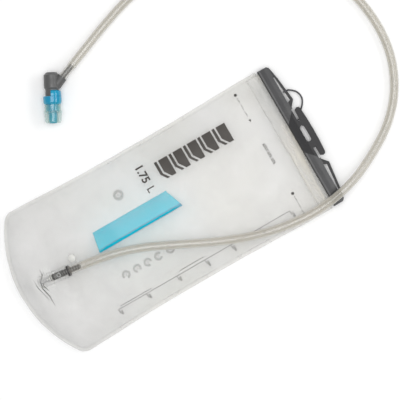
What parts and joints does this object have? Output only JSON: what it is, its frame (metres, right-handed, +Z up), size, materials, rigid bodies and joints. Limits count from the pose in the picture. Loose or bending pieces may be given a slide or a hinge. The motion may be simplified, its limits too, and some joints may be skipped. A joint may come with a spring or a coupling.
{
  "type": "hydration bladder",
  "caption": "Flat translucent water bag with a slide-seal mouth, an inner baffle, an exit port and a drinking hose that ends in an elbow and a twist bite valve.",
  "frame": {"origin": "on the surface that the bag lies on, under the middle of the bag and its slide closure", "axes": "+Y from the bag's bottom towards its mouth, +X across the bag, +Z up out of its printed face"},
  "size_m": [0.323, 0.4926, 0.0371],
  "materials": {
    "clear_film": "frosted translucent polyurethane film, satin",
    "clear_moulding": "clear moulded polyurethane",
    "blue_film": "blue translucent film",
    "black_moulding": "black moulded plastic, satin with a fine grain",
    "grey_moulding": "dark grey moulded plastic, satin",
    "blue_moulding": "translucent blue moulded plastic",
    "hose_tube": "clear polyurethane tube with a warm tint",
    "silicone": "translucent silicone rubber",
    "seal_rubber": "black rubber",
    "spring_wire": "stainless spring wire",
    "white_moulding": "white acetal",
    "tether_cord": "thin braided cord"
  },
  "bodies": {
    "bladder": {"front_panel": "clear_film", "rear_panel": "clear_film", "perimeter_weld": "clear_film", "top_fold": "clear_film", "mouth_rib_front": "clear_moulding", "mouth_rib_rear": "clear_moulding", "baffle": "blue_film", "exit_port": "clear_moulding", "plunger_spring": "spring_wire", "button_spring": "spring_wire"},
    "closure": {"slide_closure": "black_moulding", "tether_hitch": "tether_cord", "tether_cord": "tether_cord", "tether_knot": "tether_cord"},
    "hose_line": {"hose_plug": "grey_moulding", "plug_o_rings": "seal_rubber", "hose": "hose_tube", "valve_elbow": "grey_moulding"},
    "shutoff": {"shutoff_plunger": "white_moulding", "plunger_seal": "seal_rubber"},
    "button": {"release_button": "clear_moulding"},
    "bite_valve": {"valve_core": "blue_moulding", "valve_o_ring": "seal_rubber", "valve_collar": "blue_moulding"},
    "sheath": {"bite_sheath": "silicone"}
  },
  "joints": [
    {"name": "closure_slide", "type": "slide", "parent": "bladder", "child": "closure", "axis": [1, 0, 0], "range_m": [0, 0.175]},
    {"name": "hose_release", "type": "slide", "parent": "bladder", "child": "hose_line", "axis": [0.1238, 0.9799, 0.1564], "range_m": [0, 0.03]},
    {"name": "shutoff_slide", "type": "slide", "parent": "bladder", "child": "shutoff", "axis": [0.1238, 0.9799, 0.1564], "range_m": [0, 0.003], "deforming": ["plunger_spring"]},
    {"name": "button_press", "type": "slide", "parent": "bladder", "child": "button", "axis": [0.0196, 0.1552, -0.9877], "range_m": [0, 0.0015], "stiffness_N_per_m": 500, "springref_m": -0.0005, "deforming": ["button_spring"]},
    {"name": "valve_twist", "type": "hinge", "parent": "hose_line", "child": "bite_valve", "pos_m": [-0.1926, -0.0387, 0.01025], "axis": [0.887, -0.4617, 0], "range_deg": [0, 90]},
    {"name": "sheath_pull", "type": "slide", "parent": "bite_valve", "child": "sheath", "axis": [0.887, -0.4617, 0], "range_m": [0, 0.022]}
  ],
  "couplings": [
    {"joint": "shutoff_slide", "follows": "hose_release", "ratio": 0.1}
  ]
}
